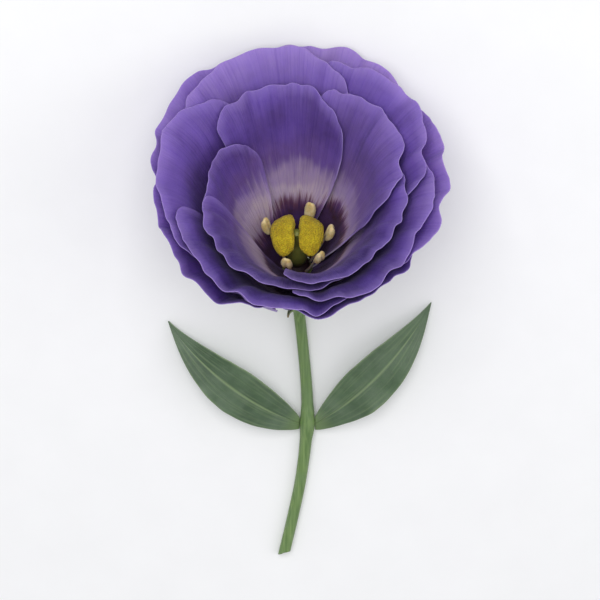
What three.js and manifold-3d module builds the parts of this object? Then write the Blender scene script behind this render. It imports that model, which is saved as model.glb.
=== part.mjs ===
// A double lisianthus flower as picked: one open bloom of three petal rows on a short cut stem.
// Millimetres, +Z up. It lies on z = 0: the stem runs along -Y, the bloom opens towards +Y and up.

import * as THREE from 'three';
import { mergeVertices } from 'three/addons/utils/BufferGeometryUtils.js';
import Module from 'manifold-3d';

const wasm = await Module();
wasm.setup();

const { degToRad, lerp, smoothstep } = THREE.MathUtils;

// How the flower lies: the bloom's base, where its petals start, and its axis above the surface
const BLOOM_BASE = new THREE.Vector3(-0.6, 12.95, 8.5);
const BLOOM_LIFT = degToRad(35);
const BLOOM_AXIS = new THREE.Vector3(0, Math.cos(BLOOM_LIFT), Math.sin(BLOOM_LIFT));

// Petals: one thin sheet each, narrow where it is attached and broad at the rim
const PETAL_THICKNESS = 0.6;
const PETAL_COLUMNS = 10;
const PETAL_ROWS = 9;

// Each row of petals, from a midline that leans out from the bloom's axis by three angles in degrees:
// at the claw, up the wall, and at the rolled rim. It turns from one to the next over clawRun and rimRun,
// and the rim is fully rolled at the row's length. Base is [radius, height] on the bloom's axis. Spread
// is half the angle that a petal takes round it, and frontLean is how much further the wall leans out
// on the upper side. A petal is [azimuth, length].
const OUTER_ROW = {
  name: 'outer_petal',
  base: [4.7, -2.1],
  claw: 56,
  wall: 22,
  rim: 74,
  clawRun: 20,
  rimRun: 12,
  length: 46.5,
  spread: 49,
  frontLean: 5,
  petals: [[66, 47], [-8, 46], [-80, 44.5], [-151, 46], [138, 47]],
};
const MIDDLE_ROW = {
  name: 'middle_petal',
  base: [4.0, -0.9],
  claw: 46,
  wall: 21.5,
  rim: 64,
  clawRun: 18,
  rimRun: 11,
  length: 46.2,
  spread: 50,
  frontLean: 8,
  petals: [[102, 47], [31, 46.5], [-42, 45.5], [-113, 45.5], [174, 46.5]],
};
const INNER_ROW = {
  name: 'inner_petal',
  base: [3.3, 0.3],
  claw: 35,
  wall: 20,
  rim: 46,
  clawRun: 13,
  rimRun: 10,
  length: 40.5,
  spread: 51,
  frontLean: 8.5,
  petals: [[97, 40], [25, 41], [-46, 40.5], [-116, 40.5], [176, 37]],
};
const PETAL_TILT = 1.05;
const PETAL_CUP = 0.35;
const PETAL_ROUNDING = 2.4;
const PETAL_SHOULDER = 0.78;
const PETAL_LOPSIDED = 0.06;
const PETAL_OPENED = 0.5;
const CLAW_SPREAD = 32;
const CLAW_LENGTH = 8;
const MIDLINE_STEPS = 60;
const RIM_HEIGHT = 38;
const RIM_SAG = 2.5;
const RIM_SAG_REACH = 20;

// Sepals: five keeled green needles outside the petals
const SEPAL_AZIMUTHS = [48, 120, 192, 264, 336];
const SEPAL_MIDLINE = { base: [5.4, -3.4], claw: 58, rim: 55, clawRun: 10, rimRun: 6 };
const SEPAL_WALL = 34;
const SEPAL_LENGTH = 19;
const SEPAL_HALF_WIDTH = 1.1;
const SEPAL_TAPER = 0.85;
const SEPAL_KEEL = 0.5;
const SEPAL_THICKNESS = 0.6;
const SEPAL_THINNING = 0.5;
const SEPAL_COLUMNS = 2;
const SEPAL_ROWS = 9;

// Stamens: thin filaments with a long anther each, along a route of [radius, height] on the bloom's axis
const STAMEN_AZIMUTHS = [67, 8, -48, -108, 158];
const STAMEN_ROUTE = [[2.7, 1.5], [4.0, 4.6], [5.2, 8.4], [6.4, 12.1], [7.3, 14.3]];
const STAMEN_STEPS = 14;
const STAMEN_SIDES = 6;
const FILAMENT_RADIUS = 0.35;
const ANTHER_LENGTH = 4.4;
const ANTHER_RADIUS = 0.75;
const ANTHER_FULLNESS = 0.6;
const ANTHER_BLUNT_END = 0.93;

// Pistil: the ovary and style as a profile of [radius, height], and the two velvety lobes of the stigma
const PISTIL_PROFILE = [[0, 2.4], [1.6, 2.4], [2.3, 5], [1.95, 7.4], [0.65, 10], [1, 14], [0, 15.3]];
const PISTIL_SIDES = 10;
const STIGMA_HEIGHT = 14;
const STIGMA_LOBE = [2.7, 4.4, 1.35];
const STIGMA_LOBE_OFFSET = 3.0;
const STIGMA_LOBE_DROOP = degToRad(22);
const STIGMA_LOBE_RINGS = 8;

// Stem: the knob that carries the whorls, a bent neck, and the stalk down to its slanted cut
const STEM_RADIUS = 1.25;
const KNOB_TOP = 2.1;
const KNOB_TOP_RADIUS = 1.7;
const KNOB_RADIUS = 4.3;
const KNOB_WIDEST = -2.6;
const NECK_START = -8;
const STEM_ROUTE = [
  [0.4, -13.5, 2.25], [1.4, -24, 1.35], [2.2, -40, 1.75], [0.6, -56, 1.35], [-3, -74, 1.25],
];
const STEM_CUT_SLANT = 1.1;
const STEM_STEPS = 56;
const STEM_SIDES = 10;
const NODE_SWELLING = 0.5;
const NODE_LENGTH = 2.2;
const NODE_DISTANCE = 46;

// Leaves: a narrow pair at the stem's joint, each along its own midrib, given as the stem's route is
const LEAF_THICKNESS = 0.6;
const LEAF_HALF_WIDTH = 5.2;
const LEAF_BASE_HALF_WIDTH = 1.4;
const LEAF_TIP_HALF_WIDTH = 0.3;
const LEAF_FULLNESS = 0.8;
const LEAF_FOLD = 0.25;
const LEAF_COLUMNS = 4;
const LEAF_ROWS = 10;
const LEAF_MIDRIBS = {
  leaf_left: [[-0.3, -40.2, 2.2], [-8, -34.9, 5.2], [-18, -26.9, 5.4], [-28, -16.4, 0.7]],
  leaf_right: [[4.9, -40, 2.2], [12, -33.4, 4.6], [21, -23.4, 4.6], [29, -11.9, 0.7]],
};

const MERGE_DISTANCE = 1e-4;

const petalMaterial = new THREE.MeshStandardMaterial({ color: 0x6a4aa8, roughness: 0.6, metalness: 0 });
const sepalMaterial = new THREE.MeshStandardMaterial({ color: 0x7f9a54, roughness: 0.6, metalness: 0 });
const stamenMaterial = new THREE.MeshStandardMaterial({ color: 0xd8c07a, roughness: 0.7, metalness: 0 });
const pistilMaterial = new THREE.MeshStandardMaterial({ color: 0xc2a526, roughness: 0.8, metalness: 0 });
const stemMaterial = new THREE.MeshStandardMaterial({ color: 0x5c7a45, roughness: 0.6, metalness: 0 });
const leafMaterial = new THREE.MeshStandardMaterial({ color: 0x4f7358, roughness: 0.6, metalness: 0 });

// A closed geometry from its corner points and triangles
function solid(points, triangles) {
  const geometry = new THREE.BufferGeometry().setFromPoints(points);
  geometry.setIndex(triangles);
  geometry.computeVertexNormals();
  return geometry;
}

// A thin closed sheet: faceAt(u, v, side) gives a point on its back (side 1) or front (side -1),
// and the back's outward direction is that of u crossed with v
function sheet(faceAt, columns, rows) {
  const points = [];
  for (const side of [1, -1]) {
    for (let row = 0; row <= rows; row += 1) {
      for (let column = 0; column <= columns; column += 1) {
        points.push(faceAt(column / columns, row / rows, side));
      }
    }
  }
  const perRow = columns + 1;
  const perSide = perRow * (rows + 1);
  const triangles = [];
  const quad = (a, b, c, d) => triangles.push(a, b, c, a, c, d);
  for (let row = 0; row < rows; row += 1) {
    for (let column = 0; column < columns; column += 1) {
      const corner = row * perRow + column;
      quad(corner, corner + 1, corner + perRow + 1, corner + perRow);
      const front = corner + perSide;
      quad(front, front + perRow, front + perRow + 1, front + 1);
    }
  }
  const rim = [];
  for (let column = 0; column < columns; column += 1) {
    rim.push(column);
  }
  for (let row = 0; row < rows; row += 1) {
    rim.push(row * perRow + columns);
  }
  for (let column = columns; column > 0; column -= 1) {
    rim.push(rows * perRow + column);
  }
  for (let row = rows; row > 0; row -= 1) {
    rim.push(row * perRow);
  }
  rim.forEach((here, index) => {
    const next = rim[(index + 1) % rim.length];
    quad(next, here, here + perSide, next + perSide);
  });
  return solid(points, triangles);
}

// A rod of changing radius along a curve, closed at both ends; the far end can be cut on a slant
function rod(curve, radiusAt, steps, sides, slant = 0) {
  const frames = curve.computeFrenetFrames(steps, false);
  const points = [];
  for (let step = 0; step <= steps; step += 1) {
    const along = step / steps;
    const centre = curve.getPointAt(along);
    const radius = radiusAt(along);
    for (let side = 0; side < sides; side += 1) {
      const turn = (side / sides) * 2 * Math.PI;
      const point = centre.clone();
      point.addScaledVector(frames.normals[step], radius * Math.cos(turn));
      point.addScaledVector(frames.binormals[step], radius * Math.sin(turn));
      if (step === steps) {
        point.addScaledVector(frames.tangents[step], slant * Math.cos(turn));
      }
      points.push(point);
    }
  }
  const start = points.push(curve.getPointAt(0)) - 1;
  const end = points.push(curve.getPointAt(1)) - 1;
  const lastRing = steps * sides;
  const triangles = [];
  for (let side = 0; side < sides; side += 1) {
    const next = (side + 1) % sides;
    for (let ring = 0; ring < lastRing; ring += sides) {
      const a = ring + side;
      const b = ring + next;
      triangles.push(a, b, b + sides, a, b + sides, a + sides);
    }
    triangles.push(start, next, side);
    triangles.push(end, lastRing + side, lastRing + next);
  }
  return solid(points, triangles);
}

// The point at an azimuth round the bloom's axis, from its radius and height
function roundAxis(radius, height, azimuth) {
  return new THREE.Vector3(radius * Math.cos(azimuth), radius * Math.sin(azimuth), height);
}

// The midline of a petal or sepal as a function of the distance along it: radius, height and lean
function midline(row, length, wallLean) {
  const stride = length / MIDLINE_STEPS;
  const leanAt = (distance) => {
    const wall = smoothstep(distance, 0, row.clawRun);
    const rim = smoothstep(distance, length - row.rimRun, length);
    return degToRad(row.claw + (wallLean - row.claw) * wall + (row.rim - wallLean) * rim);
  };
  const path = [{ radius: row.base[0], height: row.base[1], lean: leanAt(0) }];
  for (let step = 1; step <= MIDLINE_STEPS; step += 1) {
    const before = path[step - 1];
    const middle = leanAt((step - 0.5) * stride);
    path.push({
      radius: before.radius + stride * Math.sin(middle),
      height: before.height + stride * Math.cos(middle),
      lean: leanAt(step * stride),
    });
  }
  return (distance) => {
    const index = Math.min(Math.floor(distance / stride), MIDLINE_STEPS - 1);
    const rest = distance / stride - index;
    const [from, to] = [path[index], path[index + 1]];
    return {
      radius: lerp(from.radius, to.radius, rest),
      height: lerp(from.height, to.height, rest),
      lean: lerp(from.lean, to.lean, rest),
    };
  };
}

// The bloom's rim sinks towards the surface that it lies on, under its own weight
function sag(point) {
  point.y += RIM_SAG * (point.z / RIM_HEIGHT) ** 2 * smoothstep(point.y, -RIM_SAG_REACH, RIM_SAG_REACH);
  return point;
}

// One petal: it widens from its claw, its margins lie over one neighbour and under the other,
// and its corners are rounded off into the rim, more so on the margin that lies inside.
function petalGeometry(row, [azimuth, length]) {
  return sheet((u, v, side) => {
    const across = Math.sin(Math.PI * (u - 0.5));
    const crown = (1 - Math.abs(across) ** PETAL_ROUNDING) ** (1 / PETAL_ROUNDING);
    const distance = v * length * lerp(PETAL_SHOULDER + PETAL_LOPSIDED * across, 1, crown);
    const front = (1 - Math.sin(degToRad(azimuth + across * row.spread))) / 2;
    const { radius, height, lean } = midline(row, row.length, row.wall + row.frontLean * front ** 2)(distance);
    const opened = smoothstep(distance, CLAW_LENGTH / 2, length * PETAL_OPENED);
    const lifted = smoothstep(distance, 0, CLAW_LENGTH);
    const turn = degToRad(azimuth + across * lerp(CLAW_SPREAD, row.spread, opened));
    const outwards = lifted * (PETAL_TILT * across - PETAL_CUP * across ** 2) + (side * PETAL_THICKNESS) / 2;
    return sag(roundAxis(radius + outwards * Math.cos(lean), height - outwards * Math.sin(lean), turn));
  }, PETAL_COLUMNS, PETAL_ROWS);
}

// One sepal: a keeled needle that follows the petals' backs and spreads at its tip
function sepalGeometry(azimuth) {
  const at = midline(SEPAL_MIDLINE, SEPAL_LENGTH, SEPAL_WALL);
  return sheet((u, v, side) => {
    const across = 2 * u - 1;
    const { radius, height, lean } = at(v * SEPAL_LENGTH);
    const halfWidth = SEPAL_HALF_WIDTH * (1 - SEPAL_TAPER * v);
    const keel = (1 - Math.abs(across)) * halfWidth * SEPAL_KEEL;
    const outwards = keel + (side * SEPAL_THICKNESS * (1 - SEPAL_THINNING * v)) / 2;
    const turn = degToRad(azimuth) + (across * halfWidth) / radius;
    return roundAxis(radius + outwards * Math.cos(lean), height - outwards * Math.sin(lean), turn);
  }, SEPAL_COLUMNS, SEPAL_ROWS);
}

// One stamen: a thin filament that bows outwards and carries its anther as a spindle at the end
function stamenGeometry(azimuth) {
  const turn = degToRad(azimuth);
  const curve = new THREE.CatmullRomCurve3(STAMEN_ROUTE.map(([radius, height]) => (
    roundAxis(radius, height, turn)
  )));
  const antherStart = 1 - ANTHER_LENGTH / curve.getLength();
  return rod(curve, (along) => {
    const within = (along - antherStart) / (1 - antherStart);
    if (within <= 0) {
      return FILAMENT_RADIUS;
    }
    const swell = Math.sin(Math.PI * Math.min(within, ANTHER_BLUNT_END)) ** ANTHER_FULLNESS;
    return lerp(FILAMENT_RADIUS, ANTHER_RADIUS, swell);
  }, STAMEN_STEPS, STAMEN_SIDES);
}

// A closed geometry as a solid that can be joined to another
function toManifold(geometry) {
  geometry.deleteAttribute('normal');
  geometry.deleteAttribute('uv');
  const merged = mergeVertices(geometry, MERGE_DISTANCE);
  return new wasm.Manifold(new wasm.Mesh({
    numProp: 3,
    vertProperties: new Float32Array(merged.attributes.position.array),
    triVerts: new Uint32Array(merged.index.array),
  }));
}

// The geometry of a joined solid
function fromManifold(body) {
  const { vertProperties, triVerts } = body.getMesh();
  const geometry = new THREE.BufferGeometry();
  geometry.setAttribute('position', new THREE.BufferAttribute(vertProperties, 3));
  geometry.setIndex(new THREE.BufferAttribute(triVerts, 1));
  geometry.computeVertexNormals();
  return geometry;
}

// The pistil: a plump ovary drawn out into the style, with two broad stigma lobes joined on top
function pistilGeometry() {
  const profile = PISTIL_PROFILE.map(([radius, height]) => new THREE.Vector2(radius, height));
  const body = new THREE.LatheGeometry(profile, PISTIL_SIDES);
  body.rotateX(Math.PI / 2);
  let joined = toManifold(body);
  for (const side of [1, -1]) {
    const lobe = new THREE.SphereGeometry(1, PISTIL_SIDES, STIGMA_LOBE_RINGS);
    lobe.scale(...STIGMA_LOBE);
    lobe.rotateY(side * STIGMA_LOBE_DROOP);
    lobe.translate(side * STIGMA_LOBE_OFFSET, 0, STIGMA_HEIGHT);
    joined = joined.add(toManifold(lobe));
  }
  return fromManifold(joined);
}

// A place given from the bloom's base in x and y, and above the surface in z
function fromBase([x, y, z]) {
  return new THREE.Vector3(BLOOM_BASE.x + x, BLOOM_BASE.y + y, z);
}

// The stem's centre line, from the top of the knob to the cut end
function stemCurve() {
  const upperEnd = [KNOB_TOP, KNOB_WIDEST, NECK_START].map((height) => (
    BLOOM_BASE.clone().addScaledVector(BLOOM_AXIS, height)
  ));
  return new THREE.CatmullRomCurve3([...upperEnd, ...STEM_ROUTE.map(fromBase)]);
}

// The stem: the knob swells out of the neck and tapers to its top between the petals' claws
function stemGeometry() {
  const curve = stemCurve();
  const length = curve.getLength();
  return rod(curve, (along) => {
    const distance = along * length;
    const widest = KNOB_TOP - KNOB_WIDEST;
    const neck = KNOB_TOP - NECK_START;
    if (distance < widest) {
      return lerp(KNOB_TOP_RADIUS, KNOB_RADIUS, distance / widest);
    }
    if (distance < neck) {
      return lerp(KNOB_RADIUS, STEM_RADIUS, Math.sin((Math.PI / 2) * (distance - widest) / (neck - widest)));
    }
    const swelling = Math.exp(-(((distance - NODE_DISTANCE) / NODE_LENGTH) ** 2));
    return STEM_RADIUS + NODE_SWELLING * swelling;
  }, STEM_STEPS, STEM_SIDES, STEM_CUT_SLANT);
}

// One leaf: a narrow blade, folded a little along its midrib, that arches from the stem to the surface
function leafGeometry(midrib) {
  return sheet((u, v, side) => {
    const across = 2 * u - 1;
    const point = midrib.getPointAt(v);
    const tangent = midrib.getTangentAt(v);
    const sideways = new THREE.Vector3(0, 0, 1).cross(tangent).normalize();
    const above = tangent.clone().cross(sideways);
    const swell = Math.sin(Math.PI * v ** LEAF_FULLNESS);
    const halfWidth = lerp(LEAF_BASE_HALF_WIDTH * (1 - v), LEAF_HALF_WIDTH, swell) + LEAF_TIP_HALF_WIDTH;
    point.addScaledVector(sideways, -across * halfWidth);
    point.addScaledVector(above, (side * LEAF_THICKNESS) / 2 - LEAF_FOLD * Math.abs(across) * halfWidth);
    return point;
  }, LEAF_COLUMNS, LEAF_ROWS);
}

const flower = new THREE.Group();

// Adds one named piece to a group
function place(group, name, geometry, material) {
  const mesh = new THREE.Mesh(geometry, material);
  mesh.name = name;
  group.add(mesh);
}

const bloom = new THREE.Group();
bloom.position.copy(BLOOM_BASE);
bloom.rotation.x = BLOOM_LIFT - Math.PI / 2;
flower.add(bloom);

for (const row of [OUTER_ROW, MIDDLE_ROW, INNER_ROW]) {
  row.petals.forEach((petal, index) => {
    place(bloom, `${row.name}_${index + 1}`, petalGeometry(row, petal), petalMaterial);
  });
}
SEPAL_AZIMUTHS.forEach((azimuth, index) => {
  place(bloom, `sepal_${index + 1}`, sepalGeometry(azimuth), sepalMaterial);
});
STAMEN_AZIMUTHS.forEach((azimuth, index) => {
  place(bloom, `stamen_${index + 1}`, stamenGeometry(azimuth), stamenMaterial);
});
place(bloom, 'pistil', pistilGeometry(), pistilMaterial);
place(flower, 'stem', stemGeometry(), stemMaterial);
for (const [name, points] of Object.entries(LEAF_MIDRIBS)) {
  const midrib = new THREE.CatmullRomCurve3(points.map(fromBase));
  place(flower, name, leafGeometry(midrib), leafMaterial);
}

export default flower;
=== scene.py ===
import math

import bpy
import numpy as np
from mathutils import Matrix, Vector, noise


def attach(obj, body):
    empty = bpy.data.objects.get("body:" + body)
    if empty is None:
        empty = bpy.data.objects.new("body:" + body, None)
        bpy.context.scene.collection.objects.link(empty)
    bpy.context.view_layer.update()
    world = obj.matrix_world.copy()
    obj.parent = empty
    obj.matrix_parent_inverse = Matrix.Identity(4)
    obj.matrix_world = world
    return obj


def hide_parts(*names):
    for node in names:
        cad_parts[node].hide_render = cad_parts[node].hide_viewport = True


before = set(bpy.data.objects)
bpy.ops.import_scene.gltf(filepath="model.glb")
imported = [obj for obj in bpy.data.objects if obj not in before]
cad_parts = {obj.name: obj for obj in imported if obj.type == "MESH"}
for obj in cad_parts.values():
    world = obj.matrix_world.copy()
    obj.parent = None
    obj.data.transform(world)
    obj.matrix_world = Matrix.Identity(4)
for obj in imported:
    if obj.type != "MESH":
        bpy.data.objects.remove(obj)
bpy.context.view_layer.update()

MM = 0.001

# ---------------------------------------------------------------------------------------------
# Stem. A smooth, slightly waxy flower stalk, soft green tissue round a pale pith. It swells into
# the knob that carries the whorls of the bloom, has one joint where the leaves stand, and was
# picked with a slanted cut. It grew in one piece, and lies on the table from its neck downwards.
# ---------------------------------------------------------------------------------------------

# Sizes are in mm, and MM turns them to metres
BLOOM_BASE = Vector((-0.6, 12.95, 8.5))
BLOOM_LIFT = math.radians(35)
BLOOM_AXIS = Vector((0, math.cos(BLOOM_LIFT), math.sin(BLOOM_LIFT)))

# Distance along the bloom's axis and radius, from the knob's top to the neck
KNOB_PROFILE = [(2.1, 1.5), (1.2, 2.4), (-0.2, 3.3), (-1.6, 4.0), (-2.8, 4.25), (-4.0, 3.9),
                (-5.2, 3.1), (-6.4, 2.15), (-7.6, 1.5)]
# From the bloom's base in x and y, above the table in z, and the radius
STEM_COURSE = [(0.15, -9.6, 3.9, 1.3), (0.4, -13.5, 2.25, 1.25), (0.9, -18.6, 1.5, 1.22),
               (1.4, -24, 1.35, 1.22), (1.9, -30, 1.4, 1.25), (2.2, -35.6, 1.52, 1.3),
               (2.25, -38.4, 1.68, 1.52), (2.2, -40.4, 1.78, 1.74), (2.15, -42.2, 1.74, 1.58),
               (1.9, -45, 1.58, 1.34), (1.4, -50, 1.42, 1.27), (0.6, -56, 1.36, 1.25),
               (-0.9, -64, 1.32, 1.26), (-3.2, -75, 1.3, 1.27)]
STEM_SIDES = 24
STEM_STEPS = 6
CUT_PLACE = Vector((-3.0, -73.9, 1.3))
CUT_FACING = Vector((0.25, -0.85, 0.5))
CUT_RIND = 0.22
CUT_STEP = 0.1
SHARPEST_SMOOTH = math.radians(40)
KNOB_TOP = BLOOM_AXIS.dot(BLOOM_BASE) * MM


def above_table(x, y, z):
    """A place from the bloom's base in x and y, and above the table in z, in metres."""
    return Vector((BLOOM_BASE.x + x, BLOOM_BASE.y + y, z)) * MM


def deselect():
    if bpy.context.mode != "OBJECT":
        bpy.ops.object.mode_set(mode="OBJECT")
    bpy.ops.object.select_all(action="DESELECT")


def face_outwards(merge_under=0.0):
    """Turns the active piece's faces outwards, after merging points that lie on each other."""
    bpy.ops.object.mode_set(mode="EDIT")
    bpy.ops.mesh.select_all(action="SELECT")
    if merge_under:
        bpy.ops.mesh.remove_doubles(threshold=merge_under)
    bpy.ops.mesh.normals_make_consistent(inside=False)
    bpy.ops.object.mode_set(mode="OBJECT")


def stalk(name, knots, sides, steps):
    """A stalk of changing thickness drawn through knots of place and radius, as a closed mesh."""
    deselect()
    bpy.ops.curve.primitive_bezier_curve_add(location=(0, 0, 0))
    piece = bpy.context.active_object
    piece.name = name
    line = piece.data.splines[0]
    line.bezier_points.add(len(knots) - 2)
    for knot, (place, radius) in zip(line.bezier_points, knots):
        knot.co = place
        knot.radius = radius
        knot.handle_left_type = knot.handle_right_type = "AUTO"
    piece.data.dimensions = "3D"
    piece.data.bevel_depth = 1.0
    piece.data.bevel_resolution = sides // 4
    piece.data.resolution_u = steps
    piece.data.use_fill_caps = True
    bpy.ops.object.convert(target="MESH")
    piece = bpy.context.active_object
    piece.data.name = name
    face_outwards(merge_under=1e-6)
    return piece


def feed(tree, socket, value):
    """Gives a socket its value, or links it to the socket that its value comes from."""
    if isinstance(value, bpy.types.NodeSocket):
        tree.links.new(value, socket)
    else:
        socket.default_value = value


def add_node(tree, kind, inputs=None, **settings):
    """A node with its settings and what feeds its inputs."""
    made = tree.nodes.new(kind)
    for key, value in settings.items():
        setattr(made, key, value)
    for key, value in (inputs or {}).items():
        feed(tree, made.inputs[key], value)
    return made


def srgb(red, green, blue):
    """A colour as an eye reads it, in 0 to 255, as the linear colour of a shader."""
    linear = [((c / 255 + 0.055) / 1.055) ** 2.4 if c > 10 else c / 3295 for c in (red, green, blue)]
    return (*linear, 1)


def span(tree, value, low, high, to_low=0.0, to_high=1.0):
    """A value carried from one range to another, and kept inside it."""
    return add_node(tree, "ShaderNodeMapRange", {
        "Value": value, "From Min": low, "From Max": high, "To Min": to_low, "To Max": to_high,
    }, clamp=True).outputs["Result"]


def maths(tree, operation, first, second=0.0):
    return add_node(tree, "ShaderNodeMath", {0: first, 1: second}, operation=operation).outputs["Value"]


def mixed(tree, factor, first, second, blend="MIX"):
    """Two colours mixed. The mixing node's colours are its sockets 6 and 7, and its output 2."""
    made = add_node(tree, "ShaderNodeMix", {0: factor, 6: first, 7: second},
                    data_type="RGBA", blend_type=blend)
    return made.outputs[2]


def grain(tree, vector, scale, detail=2.0, roughness=0.5):
    """Soft noise over the piece, from 0 to 1."""
    return add_node(tree, "ShaderNodeTexNoise", {
        "Vector": vector, "Scale": scale, "Detail": detail, "Roughness": roughness,
    }).outputs["Fac"]


def stretched(tree, vector, scale):
    """A vector scaled by its own factor on each axis."""
    made = add_node(tree, "ShaderNodeVectorMath", {0: vector, 1: scale}, operation="MULTIPLY")
    return made.outputs["Vector"]


def up_the_bloom(tree, place):
    """How far a place lies along the bloom's axis, as KNOB_TOP gives it for the knob's top."""
    made = add_node(tree, "ShaderNodeVectorMath", {0: place, 1: BLOOM_AXIS}, operation="DOT_PRODUCT")
    return made.outputs["Value"]


def group_sockets(group, inputs, outputs):
    """Gives a node group its named inputs and outputs, as the sockets to read and to fill."""
    for name, kind in inputs:
        group.interface.new_socket(name, in_out="INPUT", socket_type=kind)
    for name, kind in outputs:
        group.interface.new_socket(name, in_out="OUTPUT", socket_type=kind)
    return add_node(group, "NodeGroupInput").outputs, add_node(group, "NodeGroupOutput").inputs


# Plant tissue: soft mottling of the colour, and the fine uneven skin of living cells
tissue = bpy.data.node_groups.new("living_tissue", "ShaderNodeTree")
given, put = group_sockets(
    tissue,
    [("Colour", "NodeSocketColor"), ("Mottle", "NodeSocketColor"), ("Amount", "NodeSocketFloat"),
     ("Vector", "NodeSocketVector"), ("Cell Scale", "NodeSocketFloat")],
    [("Colour", "NodeSocketColor"), ("Height", "NodeSocketFloat")])
patches = grain(tissue, given["Vector"], 160.0, 3.0, 0.6)
cells = grain(tissue, given["Vector"], given["Cell Scale"], 3.0, 0.65)
share = maths(tissue, "MULTIPLY", span(tissue, patches, 0.35, 0.68), given["Amount"])
tissue.links.new(mixed(tissue, share, given["Colour"], given["Mottle"]), put["Colour"])
tissue.links.new(cells, put["Height"])


def new_material(name):
    """A material with a plain Principled shader, its tree, and the place that its patterns read."""
    made = bpy.data.materials.new(name)
    made.use_nodes = True
    tree = made.node_tree
    tree.nodes.clear()
    shader = add_node(tree, "ShaderNodeBsdfPrincipled")
    add_node(tree, "ShaderNodeOutputMaterial", {"Surface": shader.outputs["BSDF"]})
    return made, tree, shader, add_node(tree, "ShaderNodeTexCoord").outputs["Object"]


def set_shader(tree, shader, **inputs):
    for key, value in inputs.items():
        feed(tree, shader.inputs[key.replace("_", " ")], value)


def bump(tree, shader, height, distance, strength):
    made = add_node(tree, "ShaderNodeBump", {"Height": height, "Distance": distance, "Strength": strength})
    tree.links.new(made.outputs["Normal"], shader.inputs["Normal"])


def in_tissue(tree, colour, mottle, amount, vector, cell_scale):
    """A colour mottled as living tissue is, and the height of its cells."""
    made = add_node(tree, "ShaderNodeGroup", {
        "Colour": colour, "Mottle": mottle, "Amount": amount, "Vector": vector, "Cell Scale": cell_scale,
    }, node_tree=tissue)
    return made.outputs["Colour"], made.outputs["Height"]


stem_skin, tree, shader, place = new_material("stem_skin")
lines = grain(tree, stretched(tree, place, (1.0, 0.035, 1.0)), 2400.0, 2.0)
fresh = mixed(tree, span(tree, lines, 0.35, 0.7), srgb(88, 118, 60), srgb(124, 150, 88))
fresh, cells = in_tissue(tree, fresh, srgb(104, 128, 92), 0.5, place, 3200.0)
# The knob under the bloom is paler and yellower than the stalk, and its top as dark as the bloom's eye
along_stem = add_node(tree, "ShaderNodeSeparateXYZ", {"Vector": place}).outputs["Y"]
fresh = mixed(tree, span(tree, along_stem, 0.003, 0.01), fresh, srgb(150, 168, 92))
darkened = span(tree, up_the_bloom(tree, place), KNOB_TOP - 0.0005, KNOB_TOP + 0.001)
fresh = mixed(tree, darkened, fresh, srgb(40, 18, 24))
set_shader(tree, shader, Base_Color=fresh, Roughness=span(tree, cells, 0.2, 0.8, 0.42, 0.62),
           Subsurface_Weight=0.12, Subsurface_Scale=0.0015, Subsurface_Radius=(0.5, 1.0, 0.3))
bump(tree, shader, maths(tree, "ADD", lines, maths(tree, "MULTIPLY", cells, 0.5)), 0.00012, 0.6)

stem_pith, tree, shader, place = new_material("stem_pith")
threads = grain(tree, place, 5200.0, 3.0, 0.7)
pith, cells = in_tissue(tree, mixed(tree, threads, srgb(178, 190, 128), srgb(214, 218, 168)),
                        srgb(150, 165, 96), 0.6, place, 5000.0)
set_shader(tree, shader, Base_Color=pith, Roughness=span(tree, cells, 0.2, 0.8, 0.35, 0.6),
           Subsurface_Weight=0.2, Subsurface_Scale=0.001)
bump(tree, shader, threads, 0.0001, 0.7)

knots = [((BLOOM_BASE + BLOOM_AXIS * along) * MM, radius * MM) for along, radius in KNOB_PROFILE]
knots += [(above_table(x, y, z), radius * MM) for x, y, z, radius in STEM_COURSE]
stem = stalk("flower_stem", knots, STEM_SIDES, STEM_STEPS)
bpy.ops.object.mode_set(mode="EDIT")
bpy.ops.mesh.select_all(action="SELECT")
bpy.ops.mesh.bisect(plane_co=above_table(*CUT_PLACE), plane_no=CUT_FACING.normalized(),
                    use_fill=True, clear_outer=True)
bpy.ops.mesh.inset(thickness=CUT_RIND * MM, depth=0)
bpy.ops.mesh.inset(thickness=CUT_STEP * MM, depth=-CUT_STEP * MM)
bpy.ops.mesh.poke()
stem.data.materials.append(stem_skin)
stem.data.materials.append(stem_pith)
stem.active_material_index = 1
bpy.ops.object.material_slot_assign()
bpy.ops.object.mode_set(mode="OBJECT")
deselect()
stem.select_set(True)
bpy.ops.object.shade_smooth_by_angle(angle=SHARPEST_SMOOTH)
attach(stem, "root")
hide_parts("stem")

# ---------------------------------------------------------------------------------------------
# Petals. Each is one thin, soft sheet of living tissue, narrow at its claw, broad and ruffled at
# the rim, with fine veins that fan out along it. The three rows grow from the knob, one inside
# the other, and each petal lies over one neighbour and under the other.
# ---------------------------------------------------------------------------------------------

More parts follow.
